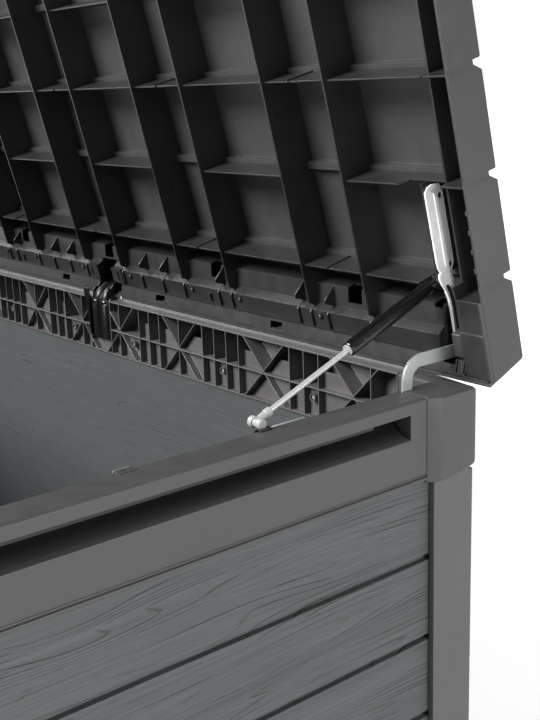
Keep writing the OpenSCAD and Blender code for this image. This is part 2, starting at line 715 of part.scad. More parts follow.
// Stepped hinge rail under the lid's rear plank, with gussets, bosses and cut-outs
module lid_hinge_rail() {
    gusset_x = [111, 167, 306, 475, 531];
    hole_x = [0, 288, 568];
    vent_x = [144, 419];
    last = pocket_in;
    color(lid_grey) lid_place() difference() {
        union() {
            along_x(-last, last) polygon([
                lid_pt(3.4, -3), lid_pt(6.2, -2.6), lid_pt(24, 6), lid_pt(24, 2.5), lid_pt(49, 2.5),
                lid_pt(54.5, 14), lid_pt(79, 19.5), lid_pt(79, skin_in),
                lid_pt(76.5, skin_in), lid_pt(76.5, 21.6), lid_pt(52.4, 16.2),
                lid_pt(47.2, 5), lid_pt(27, 5), lid_pt(27, 9), lid_pt(24, 10), lid_pt(5.3, 1.5),
                lid_pt(3.4 + 4.5 * 2.8 / 20, 1.5)]);
            // the lip runs on to the end skirts, and its lower face past the arm's slot
            along_x(-lid_half + skin, lid_half - skin) polygon([
                lid_pt(3.4, -3), lid_pt(6.2, -2.6), lid_pt(6, 0.5), lid_pt(6, 2.7),
                lid_pt(3.4 + 5.7 * 2.8 / 20, 2.7)]);
            for (side = [-1, 1]) on_side(side) {
                along_x(last, pocket_out) polygon([
                    lid_pt(3.4, -3), lid_pt(6.2, -2.6), lid_pt(16, 2), lid_pt(15, 4.6),
                    lid_pt(3.4 + 5.7 * 2.8 / 20, 2.7)]);
                along_x(728.6, pocket_out) polygon([
                    lid_pt(15, 1.6), lid_pt(21.8, 4.7), lid_pt(21, 7), lid_pt(14.5, 4.4)]);
                along_x(last - 4.5, last - 3) polygon([
                    lid_pt(8, 2), lid_pt(24, 8), lid_pt(48, 4), lid_pt(53.5, 15), lid_pt(77, 20.5),
                    lid_pt(77, skin_in), lid_pt(13.5, skin_in), lid_pt(7, 17)]);
            }
            for (side = [-1, 1]) on_side(side) {
                for (x = gusset_x)
                    along_x(x - 0.9, x + 0.9) polygon([
                        lid_pt(80, 21), lid_pt(66, 0), lid_pt(61, 0), lid_pt(54, 12),
                        lid_pt(49, 1.2), lid_pt(27, 1.2), lid_pt(26, 4), lid_pt(48, 4),
                        lid_pt(54, 15.5)]);
                for (x = rib_at)
                    along_x(x - 1.2, x + 1.2) polygon([
                        lid_pt(80, 30), lid_pt(80, 0), lid_pt(58, 0), lid_pt(52, 8),
                        lid_pt(49, 1.2), lid_pt(27, 1.2), lid_pt(26, 4), lid_pt(48, 4),
                        lid_pt(54, 15.5), lid_pt(78, 21)]);
                for (x = boss_at)
                    translate([x, lid_rear - 43, lid_low]) difference() {
                        cylinder(d = 8.5, h = 3.5, $fn = 40);
                        translate([0, 0, -1]) cylinder(d = 4.4, h = 3, $fn = 40);
                    }
                // small upright tab
                block([283, lid_rear - 42, lid_low - 1], [285, lid_rear - 30, lid_low + 3.5]);
                // blocks either side of the middle hinge
                along_x(21.5, 50) polygon([
                    lid_pt(26, 0), lid_pt(49, 0), lid_pt(49, 8), lid_pt(54, 17), lid_pt(27, 8)]);
                along_x(21.5, 50) polygon([
                    lid_pt(49, 0), lid_pt(50.5, 0), lid_pt(50.5, 6), lid_pt(56, 16), lid_pt(49, 14)]);
            }
        }
        for (side = [-1, 1]) on_side(side) {
            for (x = hole_x)
                along_y(lid_rear - 84, lid_rear - 60) polygon([
                    [x - 8.5, lid_low + 10], [x - 12, lid_low + 13.5], [x - 12, lid_low + 33],
                    [x + 12, lid_low + 33], [x + 12, lid_low + 13.5], [x + 8.5, lid_low + 10]]);
            for (x = vent_x)
                block([x - 12, lid_rear - 18.5, lid_low - 5], [x + 12, lid_rear - 9.5, lid_low + 12]);
            // two slits below the pivot's cover
            for (x = [731, 741])
                block([x, lid_rear - 22.5, lid_low - 5], [x + 1.8, lid_rear - 8, lid_low + 12]);
        }
        // relief in the upper step for the strut's end
        for (side = [-1, 1]) on_side(side)
            block([strut_x - 6, lid_rear - 80.5, lid_low + 12],
                  [strut_x + 6.2, lid_rear - 73.4, lid_low + 36]);
        block([-21.5, lid_rear - 58, lid_low - 10], [21.5, lid_rear + 1, lid_low + 42]);
        block([-leaf_half, lid_rear - 27, lid_low - 10], [leaf_half, lid_rear + 1, lid_low + 42]);
        for (x = [-42, 38])
            block([x, lid_rear - 46, lid_low - 5], [x + 4, lid_rear - 31, lid_low + 4]);
    }
}

module lid_screws() {
    color(zinc) lid_place() for (side = [-1, 1]) on_side(side)
        for (x = boss_at)
            translate([x, lid_rear - 43, lid_low + 2]) mirror([0, 0, 1]) pan_screw(4, 1.2);
}

// Lid half of the middle hinge: a leaf under the lid with one knuckle round the pin
module middle_hinge_leaf() {
    color(gloss_black) lid_place() difference() {
        union() {
            bar_x(-11.5, 11.5, hinge_y, hinge_z, 15);
            block([-11.5, hinge_y - 40, hinge_z + 1.5], [11.5, hinge_y, hinge_z + 7.5]);
            block([-leaf_half + 1, hinge_y - 34, hinge_z + 9],
                  [leaf_half - 1, hinge_y + 8, lid_low + skin_in]);
            block([-11.5, hinge_y - 34, hinge_z + 3], [11.5, hinge_y - 8, hinge_z + 12]);
        }
        bar_x(-40, 40, hinge_y, hinge_z, 6 + 2 * pin_gap);
    }
}

// Padlock lug hanging from the lid's front edge, beside the rim's lug when the lid is shut
module lock_lug_lid() {
    color(lid_grey) lid_place() difference() {
        union() {
            block([-6, lock_at[0] - 4.5, lock_at[1]], [-1, lock_at[0] + 8, lid_low + 30]);
            bar_x(-6, -1, lock_at[0], lock_at[1], 16);
            block([-20, lock_at[0] - 4.5, lid_low + 26],
                  [14, lock_at[0] + 8, lid_low + skin_in]);
        }
        bar_x(-7, 0, lock_at[0], lock_at[1], lock_bore);
    }
}

// ---------------------------------------------------------------- hinge arms and struts

// Hinge arm: a formed plate on the lid's mounting rib that narrows to the pivot
module hinge_arm(side) {
    x0 = arm_x - arm_t / 2;
    x1 = arm_x + arm_t / 2;
    color(zinc) on_side(side) lid_place() difference() {
        union() {
            // fixing plate with a slight lengthwise fold
            intersection() {
                along_x(x0 - 1, x1 + 1) polygon([
                    lid_pt(130, 14), lid_pt(209, 14), lid_pt(214, 19), lid_pt(215.5, 27),
                    lid_pt(214, 36), lid_pt(207, 41), lid_pt(124, 41), lid_pt(115, 37),
                    lid_pt(100, 30), lid_pt(100, 26), lid_pt(112, 20), lid_pt(122, 15)]);
                along_y(lid_rear - 220, lid_rear - 95) polygon([
                    [x0, lid_low + 10], [x1 - 0.8, lid_low + 10], [x1 - 0.2, lid_low + 25.4],
                    [x1, lid_low + 26.2], [x1 - 0.2, lid_low + 27], [x1 - 0.6, lid_low + 45],
                    [x0, lid_low + 45]]);
            }
            // ear for the strut's stud
            along_x(x0, x1) polygon([
                lid_pt(94, 21), lid_pt(102, 17), lid_pt(110, 14), lid_pt(116, 14.5), lid_pt(118, 19),
                lid_pt(116, 25), lid_pt(112, 33), lid_pt(104, 36.5), lid_pt(94, 34)]);
            // flat bar from the ear to the pivot
            along_x(x0 - 1.5, x1) polygon([
                lid_pt(22, 19), lid_pt(40, 24), lid_pt(70, 24.5), lid_pt(84, 23.5),
                lid_pt(94, 21), lid_pt(94, 34), lid_pt(84, 35), lid_pt(22, 35)]);
            along_x(x0 - 1.5, x1) translate([hinge_y, hinge_z]) circle(r = 8, $fn = 64);
        }
        bar_x(x0 - 3, x1 + 3, hinge_y, hinge_z, pin_d + 2 * pin_gap);
        bar_x(x0 - 3, x1 + 3, lid_rear - 122, lid_low + 35.5, 6);
        bar_x(x0 - 3, x1 + 3, lid_rear - 200, lid_low + 36, 7);
    }
}

// Moulded cover over the pivot, on the outer side of the gooseneck
module pivot_cover(side) {
    x0 = neck_x + neck_t / 2 + 0.5;
    color(lid_grey) on_side(side) lid_place() difference() {
        union() {
            along_x(x0 + 8.5, pocket_out) polygon([
                lid_pt(23, 6), lid_pt(26, 3.4), lid_pt(52.5, 3.4), lid_pt(53.5, 5.5),
                lid_pt(53.5, 38), lid_pt(15, 38), lid_pt(15, 22), lid_pt(22, 20)]);
            along_x(x0, x0 + 9) polygon([
                lid_pt(12, 20), lid_pt(40, 20), lid_pt(40, 35), lid_pt(15, 35), lid_pt(12, 31)]);
        }
        bar_x(x0 - 1, x0 + 4.5, hinge_y, hinge_z, 14);
    }
}

// Ball stud that joins the strut's upper end to the hinge arm
module strut_stud(side) {
    p = stud_open;
    color(zinc) on_side(side) union() {
        bar_x(strut_x + 4.9, arm_x - arm_t / 2, p[0], p[1], 6);
        bar_x(arm_x - arm_t / 2 - 2, arm_x - arm_t / 2, p[0], p[1], 11);
    }
}

// Along the strut: s from the foot pivot, in the strut's own plane
module strut_place(side) {
    on_side(side) translate([strut_x, foot[0], foot[1]]) rotate([strut_tilt, 0, 0])
        rotate([-90, 0, 0]) children();
}

rod_from = 13;
tube_from = strut_open_l - tube_l - 17;

module strut_rod(side) {
    color([0.87, 0.88, 0.88]) strut_place(side)
        translate([0, 0, rod_from - 4]) cylinder(d = rod_d, h = strut_closed_l - 19 - rod_from, $fn = 40);
}

module rod_end(side) {
    color([0.9, 0.91, 0.91]) strut_place(side) difference() {
        union() {
            translate([-5.5, 0, 0]) rotate([0, 90, 0]) cylinder(d = 12, h = 6, $fn = 48);
            translate([0, 0, 0]) rotate([0, 90, 0]) cylinder(d = 9, h = 4.5, $fn = 48);
            translate([0, 0, 2]) cylinder(d = 8, h = 14, $fn = 40);
            translate([0, 0, 14]) cylinder(d = 9.6, h = 6.5, $fn = 40);
        }
        translate([0, 0, 9]) cylinder(d = rod_d, h = 20, $fn = 40);
        translate([0.9, 0, 0]) rotate([0, 90, 0])
            cylinder(d = foot_pin + 2 * pin_gap, h = 10, $fn = 40);
    }
}

module strut_tube(side) {
    bore = rod_d + 2 * pin_gap;
    color(gloss_black) strut_place(side) translate([0, 0, tube_from]) difference() {
        union() {
            cylinder(d1 = tube_d - 1.5, d2 = tube_d, h = 1, $fn = 64);
            translate([0, 0, 1 - eps]) cylinder(d = tube_d, h = 17 + eps, $fn = 64);
            translate([0, 0, 18 - eps]) cylinder(d = tube_d - 1, h = 1.4 + 2 * eps, $fn = 64);
            translate([0, 0, 19.4]) cylinder(d = tube_d, h = tube_l - 21.4, $fn = 64);
            translate([0, 0, tube_l - 2 - eps]) cylinder(d1 = tube_d, d2 = tube_d - 3, h = 2, $fn = 64);
        }
        translate([0, 0, -1]) cylinder(d = bore, h = tube_l - 4, $fn = 48);
    }
}

module tube_ring(side) {
    color([0.9, 0.9, 0.9]) strut_place(side) translate([0, 0, tube_from - 2.2]) difference() {
        cylinder(d = tube_d - 4, h = 2.2, $fn = 48);
        translate([0, 0, -1]) cylinder(d = rod_d + 2 * pin_gap, h = 5, $fn = 48);
    }
}

module tube_end(side) {
    color([0.07, 0.07, 0.07]) strut_place(side) union() {
        translate([0, 0, strut_open_l - 17]) cylinder(d = 8, h = 12, $fn = 40);
        translate([-4.4, 0, strut_open_l]) rotate([0, 90, 0]) cylinder(d = 14, h = 9, $fn = 48);
    }
}

floor_panel();
wall_front();
wall_rear();
wall_end(-1);  // wall_left
wall_end(1);  // wall_right
post(-1, false);  // post_front_left
post(1, false);  // post_front_right
post(-1, true);  // post_rear_left
post(1, true);  // post_rear_right
cap(-1, false);  // cap_front_left
cap(1, false);  // cap_front_right
cap(-1, true);  // cap_rear_left
cap(1, true);  // cap_rear_right
rim_front();
rim_left();
rim_right();
rear_rail();
rear_rail_screws();
gooseneck(-1);  // gooseneck_left
gooseneck(1);  // gooseneck_right
hinge_pin(-1);  // hinge_pin_left
hinge_pin(1);  // hinge_pin_right
strut_foot(-1);  // strut_foot_left
strut_foot(1);  // strut_foot_right
middle_hinge_base();
middle_hinge_pin();
lock_lug_rim();
rim_clip(-1);  // rim_clip_left
rim_clip(1);  // rim_clip_right
lid_shell();
lid_ribs();
lid_shelves();
lid_end_blocks();
lid_hinge_rail();
lid_screws();
middle_hinge_leaf();
lock_lug_lid();
hinge_arm(-1);  // hinge_arm_left
hinge_arm(1);  // hinge_arm_right
pivot_cover(-1);  // pivot_cover_left
pivot_cover(1);  // pivot_cover_right
strut_stud(-1);  // strut_stud_left
strut_stud(1);  // strut_stud_right
strut_rod(-1);  // strut_rod_left
strut_rod(1);  // strut_rod_right
rod_end(-1);  // rod_end_left
rod_end(1);  // rod_end_right
strut_tube(-1);  // strut_tube_left
strut_tube(1);  // strut_tube_right
tube_ring(-1);  // tube_ring_left
tube_ring(1);  // tube_ring_right
tube_end(-1);  // tube_end_left
tube_end(1);  // tube_end_right
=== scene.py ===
"""Looks for a resin deck storage box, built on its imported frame.

Metres: X runs along the box, Y back to the hinges and Z up.
"""
import json
import math

import bpy
from mathutils import Matrix, Vector


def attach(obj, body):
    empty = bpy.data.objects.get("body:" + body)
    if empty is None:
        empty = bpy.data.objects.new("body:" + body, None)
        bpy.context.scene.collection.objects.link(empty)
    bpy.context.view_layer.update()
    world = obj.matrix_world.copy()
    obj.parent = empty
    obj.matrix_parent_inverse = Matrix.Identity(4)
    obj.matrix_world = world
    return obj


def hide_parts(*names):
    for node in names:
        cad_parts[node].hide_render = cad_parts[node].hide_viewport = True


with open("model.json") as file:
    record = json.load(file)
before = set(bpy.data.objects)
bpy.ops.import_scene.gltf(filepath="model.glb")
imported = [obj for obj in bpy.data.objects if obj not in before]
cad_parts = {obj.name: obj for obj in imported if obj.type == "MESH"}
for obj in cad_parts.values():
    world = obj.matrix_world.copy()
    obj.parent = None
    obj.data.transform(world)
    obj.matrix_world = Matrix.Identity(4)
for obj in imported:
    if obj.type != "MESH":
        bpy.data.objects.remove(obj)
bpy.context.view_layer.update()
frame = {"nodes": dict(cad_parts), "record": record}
nodes = frame["nodes"]
behaviour = frame["record"]["behaviour"]


# ---------------------------------------------------------------- places and sizes

mm = 0.001
joints = {joint["name"]: joint for joint in behaviour["joints"]}
hinge_axis = joints["lid_hinge"]["pos_m"]
lid_swing = math.radians(joints["lid_hinge"]["range_deg"][1])
strut_pivot = joints["strut_right_pivot"]["pos_m"]

# the shut lid's rear edge and underside, and the top of the rim a little below it
lid_rear = hinge_axis[1] + 22.5 * mm
lid_low = hinge_axis[2] - 27 * mm
rim_top = lid_low - 3 * mm
planks_high = 6

# where the gussets, ribs and screws stand along the lid's hinge rail, in mm from the middle
gusset_at = (111, 167, 306, 475, 531)
rib_at = (56, 222, 335, 500, 606)
screw_at = (73, 239, 350, 514)

# corners sharper than the first are rounded, and those flatter than the second are shaded smooth
corner_angle = math.radians(28)
smooth_angle = math.radians(32)


# ---------------------------------------------------------------- camera, floor and lights

def aim_camera():
    """A camera near the right-hand end, looking down across the open box to the hinges."""
    place = (1.4945, -0.5243, 0.910)
    yaw, pitch, roll = (math.radians(angle) for angle in (38.971, 14.380, 1.966))
    look = Vector((-math.cos(pitch) * math.cos(yaw), math.cos(pitch) * math.sin(yaw), -math.sin(pitch)))
    right = look.cross(Vector((0, 0, 1))).normalized()
    down = look.cross(right)
    turned_right = math.cos(roll) * right + math.sin(roll) * down
    turned_down = -math.sin(roll) * right + math.cos(roll) * down
    data = bpy.data.cameras.new("camera")
    data.lens = 53.8
    data.sensor_width = 36.0
    data.clip_start = 0.05
    data.clip_end = 60.0
    camera = bpy.data.objects.new("camera", data)
    bpy.context.scene.collection.objects.link(camera)
    turn = Matrix((turned_right, -turned_down, -look)).transposed().to_4x4()
    camera.matrix_world = Matrix.Translation(place) @ turn
    bpy.context.scene.camera = camera


def broad_light(name, toward, strength, softness):
    """Broad even light from the direction toward, its shadows softened by an angle in degrees."""
    data = bpy.data.lights.new(name, "SUN")
    data.energy = strength
    data.angle = math.radians(softness)
    light = bpy.data.objects.new(name, data)
    bpy.context.scene.collection.objects.link(light)
    light.rotation_euler = Vector(toward).to_track_quat("Z", "Y").to_euler()


def arm_light():
    """A small soft spot that reaches the hinge arm's plate past the lid's end skirt."""
    place = Vector((1.62, -0.20, 0.98))
    target = Vector((0.716, 0.335, 0.735))
    data = bpy.data.lights.new("arm_spot", "SPOT")
    data.energy = 21.0
    data.spot_size = math.radians(11)
    data.spot_blend = 1.0
    data.shadow_soft_size = 0.05
    spot = bpy.data.objects.new("arm_spot", data)
    bpy.context.scene.collection.objects.link(spot)
    spot.location = place
    spot.rotation_euler = (place - target).to_track_quat("Z", "Y").to_euler()


def white_surround():
    """A surround that is seen white but lights the object less than the lamps do."""
    seen_strength = 1.0
    light_strength = 0.34
    world = bpy.data.worlds.new("studio")
    bpy.context.scene.world = world
    world.use_nodes = True
    tree = world.node_tree
    back = tree.nodes["Background"]
    back.inputs["Color"].default_value = (1.0, 1.0, 1.0, 1.0)
    seen = tree.nodes.new("ShaderNodeLightPath").outputs["Is Camera Ray"]
    tree.links.new(spread(tree, seen, 0.0, 1.0, light_strength, seen_strength), back.inputs["Strength"])


def studio():
    """White surround and floor, soft lights from the front, the left and the right-hand end."""
    white_surround()
    broad_light("front", (-0.22, -0.80, 0.56), strength=8.2, softness=28)
    broad_light("edge", (-0.80, -0.24, 0.54), strength=1.0, softness=18)
    arm_light()
    broad_light("end", (0.96, 0.16, 0.14), strength=2.6, softness=22)
    bpy.ops.mesh.primitive_plane_add(size=60, location=(0, 0, -0.5 * mm))
    floor = bpy.context.object
    floor.name = "studio_floor"
    floor.data.materials.append(pale_floor())
    bpy.context.scene.view_settings.view_transform = "Standard"


# ---------------------------------------------------------------- building nodes

def new_group(name, inputs, outputs):
    """An empty node group with named inputs (name, default) and outputs (name, kind)."""
    group = bpy.data.node_groups.new(name, "ShaderNodeTree")
    for label, default in inputs:
        kind = "NodeSocketColor" if isinstance(default, tuple) else "NodeSocketFloat"
        socket = group.interface.new_socket(label, in_out="INPUT", socket_type=kind)
        socket.default_value = (*default, 1.0) if isinstance(default, tuple) else default
    for label, kind in outputs:
        group.interface.new_socket(label, in_out="OUTPUT", socket_type=kind)
    return group, group.nodes.new("NodeGroupInput"), group.nodes.new("NodeGroupOutput")


def feed(tree, value, socket):
    """Sets a socket to a number or a colour, or links it to another socket."""
    if isinstance(value, (int, float)):
        socket.default_value = value
    elif isinstance(value, tuple):
        socket.default_value = (*value, 1.0)
    else:
        tree.links.new(value, socket)


def math_node(tree, operation, a, b=None):
    """The result of a sum on one or two values."""
    node = tree.nodes.new("ShaderNodeMath")
    node.operation = operation
    feed(tree, a, node.inputs[0])
    if b is not None:
        feed(tree, b, node.inputs[1])
    return node.outputs[0]


def blend_colour(tree, factor, a, b):
    """Colour a where factor is 0, colour b where it is 1."""
    node = tree.nodes.new("ShaderNodeMix")
    node.data_type = "RGBA"
    for key, value in (("Factor", factor), ("A", a), ("B", b)):
        feed(tree, value, [s for s in node.inputs if s.name == key and s.enabled][0])
    return [s for s in node.outputs if s.enabled][0]


def shaded(tree, colour, tone):
    """A colour made darker or lighter by the factor tone."""
    node = tree.nodes.new("ShaderNodeVectorMath")
    node.operation = "SCALE"
    if isinstance(colour, tuple):
        node.inputs[0].default_value = colour
    else:
        tree.links.new(colour, node.inputs[0])
    tree.links.new(tone, node.inputs["Scale"])
    return node.outputs["Vector"]


def noise(tree, vector, detail, roughness=0.55, scale=1.0, distortion=0.0):
    """Cloudy noise from 0 to 1, scale blotches to each unit of the vector."""
    node = tree.nodes.new("ShaderNodeTexNoise")
    node.inputs["Scale"].default_value = scale
    node.inputs["Detail"].default_value = detail
    node.inputs["Roughness"].default_value = roughness
    node.inputs["Distortion"].default_value = distortion
    tree.links.new(vector, node.inputs["Vector"])
    return node.outputs["Fac"]


def spread(tree, value, low, high, to_low=0.0, to_high=1.0):
    """Moves the range low to high onto to_low to to_high, and holds it there beyond."""
    node = tree.nodes.new("ShaderNodeMapRange")
    node.inputs["From Min"].default_value = low
    node.inputs["From Max"].default_value = high
    node.inputs["To Min"].default_value = to_low
    node.inputs["To Max"].default_value = to_high
    tree.links.new(value, node.inputs["Value"])
    return node.outputs["Result"]


def place_of(tree):
    """The place on the box, in metres."""
    return tree.nodes.new("ShaderNodeTexCoord").outputs["Object"]


def axes_of(tree, place):
    """The X, Y and Z of a place."""
    node = tree.nodes.new("ShaderNodeSeparateXYZ")
    tree.links.new(place, node.inputs[0])
    return node.outputs["X"], node.outputs["Y"], node.outputs["Z"]


def bump(tree, shader, height, depth):
    """Relief of the given depth in metres."""
    node = tree.nodes.new("ShaderNodeBump")
    node.inputs["Distance"].default_value = depth
    tree.links.new(height, node.inputs["Height"])
    tree.links.new(node.outputs["Normal"], shader.inputs["Normal"])


def new_material(name):
    """A new material, its node tree and its shader."""
    material = bpy.data.materials.new(name)
    material.use_nodes = True
    tree = material.node_tree
    return material, tree, tree.nodes["Principled BSDF"]


# ---------------------------------------------------------------- shared surface effects

surface_outputs = (("Colour", "NodeSocketColor"), ("Height", "NodeSocketFloat"),
                   ("Roughness", "NodeSocketFloat"))


def moulded_skin_group():
    """Fine spark-eroded grain and faint cloudy tone for every moulded resin."""
    group, given, made = new_group(
        "moulded_skin", [("Colour", (0.1, 0.1, 0.1)), ("Cloud", 0.12), ("Roughness", 0.5)], surface_outputs)
    place = place_of(group)
    grain = noise(group, place, scale=1500, detail=2.0, roughness=0.6)
    cloud = noise(group, place, scale=9, detail=4.0, roughness=0.6)
    patch = noise(group, place, scale=55, detail=3.0, roughness=0.6)
    broad_tone = spread(group, cloud, 0.3, 0.7, -1, 1)
    tone = math_node(group, "ADD", broad_tone, spread(group, patch, 0.3, 0.7, -0.5, 0.5))
    lift = math_node(group, "ADD", math_node(group, "MULTIPLY", tone, given.outputs["Cloud"]), 1.0)
    rough = math_node(group, "ADD", given.outputs["Roughness"], spread(group, patch, 0.3, 0.7, -0.06, 0.06))
    group.links.new(shaded(group, given.outputs["Colour"], lift), made.inputs["Colour"])
    group.links.new(grain, made.inputs["Height"])
    group.links.new(rough, made.inputs["Roughness"])
    return group


def wood_grain_group():
    """Pressed wood figure: fine fibres and sparse deeper lines that run along each plank."""
    group, given, made = new_group(
        "wood_grain", [("Colour", (0.1, 0.12, 0.12)), ("Contrast", 1.0), ("Along", 0.0)], surface_outputs)
    x, y, up = axes_of(group, place_of(group))
    # the length runs along X, or along Y where Along is 1
    length = group.nodes.new("ShaderNodeMix")
    group.links.new(given.outputs["Along"], length.inputs["Factor"])
    group.links.new(x, length.inputs["A"])
    group.links.new(y, length.inputs["B"])
    along = length.outputs["Result"]

    def times(value, by):
        return math_node(group, "MULTIPLY", value, by)

    # each plank has its own figure
    plank = math_node(group, "FLOOR", times(up, planks_high / rim_top))

    def drawn_out(per_metre_along, across, per_metre_across, third=plank):
        """A place squeezed more across the fibres than along them, which draws noise out along them."""
        joined = group.nodes.new("ShaderNodeCombineXYZ")
        feed(group, times(along, per_metre_along), joined.inputs[0])
        feed(group, times(across, per_metre_across), joined.inputs[1])
        feed(group, third, joined.inputs[2])
        return joined.outputs[0]

    sway = noise(group, drawn_out(2.3, up, 9.0), detail=2.0, roughness=0.5)
    bent = math_node(group, "ADD", up, times(math_node(group, "SUBTRACT", sway, 0.5), 30 * mm))
    fibre = noise(group, drawn_out(9.0, bent, 520.0), detail=4.0, roughness=0.7)
    coarse = noise(group, drawn_out(2.6, bent, 210.0), detail=3.0, roughness=0.6)
    high = math_node(group, "ADD", times(fibre, 0.65), times(coarse, 0.5))

    # sparse lines follow the level lines of a slow figure, and break off here and there
    figure = noise(group, drawn_out(1.5, bent, 15.0), detail=1.5, roughness=0.45, distortion=0.3)
    ring = math_node(group, "PINGPONG", times(figure, 23.0), 0.5)
    line = spread(group, ring, 0.0, 0.07, 1.0, 0.0)
    broken = noise(group, drawn_out(5.0, bent, 60.0), detail=2.0, roughness=0.5)
    scratch = times(line, spread(group, broken, 0.42, 0.60))

    slow = noise(group, drawn_out(3.0, up, 6.0, 0.0), detail=3.0, roughness=0.6)
    tone = math_node(group, "ADD", spread(group, high, 0.42, 0.72, -0.30, 0.26), times(scratch, -0.45))
    tone = math_node(group, "ADD", tone, spread(group, slow, 0.3, 0.7, -0.06, 0.06))
    lift = math_node(group, "ADD", times(tone, given.outputs["Contrast"]), 1.0)
    group.links.new(shaded(group, given.outputs["Colour"], lift), made.inputs["Colour"])
    group.links.new(math_node(group, "SUBTRACT", high, times(scratch, 0.9)), made.inputs["Height"])
    group.links.new(spread(group, high, 0.3, 0.85, 0.62, 0.44), made.inputs["Roughness"])
    return group


groups = {"moulded_skin": moulded_skin_group(), "wood_grain": wood_grain_group()}


def surface(tree, group, **values):
    """One of the shared effects, placed in a material with its own values."""
    node = tree.nodes.new("ShaderNodeGroup")
    node.node_tree = groups[group]
    for label, value in values.items():
        feed(tree, value, node.inputs[label])
    return node.outputs


# ---------------------------------------------------------------- finishes

def pale_floor():
    """The floor is lit from below too, so it stays white in the object's shadow."""
    material, _, shader = new_material("pale_floor")
    shader.inputs["Base Color"].default_value = (0.25, 0.25, 0.25, 1)
    shader.inputs["Roughness"].default_value = 0.6
    shader.inputs["Specular IOR Level"].default_value = 0.1
    shader.inputs["Emission Color"].default_value = (1, 1, 1, 1)
    shader.inputs["Emission Strength"].default_value = 0.86
    return material


def moulded_resin(name, colour, cloud=0.05, roughness=0.45, specular=0.5, painted_shade_fades_to=None):
    """Moulded resin; given (inner, outer, colour) it turns to that colour as |X| grows, a painted shade
    that lifts towards the outer end.
    """
    material, tree, shader = new_material(name)
    skin = surface(tree, "moulded_skin", Colour=colour, Cloud=cloud, Roughness=roughness)
    tint = skin["Colour"]
    if painted_shade_fades_to:
        inner, outer, outer_colour = painted_shade_fades_to
        reach = math_node(tree, "ABSOLUTE", axes_of(tree, place_of(tree))[0])
        # the painted shade lifts slowly at first, and faster near the outer end
        rise = math_node(tree, "POWER", spread(tree, reach, inner, outer), 2.2)
        tint = blend_colour(tree, rise, tint, outer_colour)
    tree.links.new(tint, shader.inputs["Base Color"])
    tree.links.new(skin["Roughness"], shader.inputs["Roughness"])
    shader.inputs["Specular IOR Level"].default_value = specular
    bump(tree, shader, skin["Height"], 0.06 * mm)
    return material


def plank_resin(name, colour, along, contrast, depth):
    """Wood-look resin whose fibres run along X (0) or along Y (1), pressed to a depth."""
    material, tree, shader = new_material(name)
    grain = surface(tree, "wood_grain", Colour=colour, Contrast=contrast, Along=along)
    tree.links.new(grain["Colour"], shader.inputs["Base Color"])
    tree.links.new(grain["Roughness"], shader.inputs["Roughness"])
    bump(tree, shader, grain["Height"], depth)
    return material


def bright_metal(name, colour, roughness, metallic=0.45, painted_shade_beyond=None):
    """Plated or ground metal; past a given |X| it is painted dark grey as shade."""
    material, tree, shader = new_material(name)
    place = place_of(tree)
    marks = noise(tree, place, scale=300, detail=4.0, roughness=0.7)
    cloud = noise(tree, place, scale=60, detail=3.0)
    shader.inputs["Metallic"].default_value = metallic
    tint = shaded(tree, colour, spread(tree, cloud, 0.3, 0.7, 0.9, 1.05))
    if painted_shade_beyond:
        # painted shade: past that reach the metal turns dark grey
        reach = math_node(tree, "ABSOLUTE", axes_of(tree, place)[0])
        past = math_node(tree, "GREATER_THAN", reach, painted_shade_beyond)
        tint = blend_colour(tree, past, tint, (0.07, 0.07, 0.07))
    tree.links.new(tint, shader.inputs["Base Color"])
    rough = spread(tree, marks, 0.3, 0.7, roughness - 0.06, roughness + 0.08)
    tree.links.new(rough, shader.inputs["Roughness"])
    bump(tree, shader, marks, 0.02 * mm)
    return material


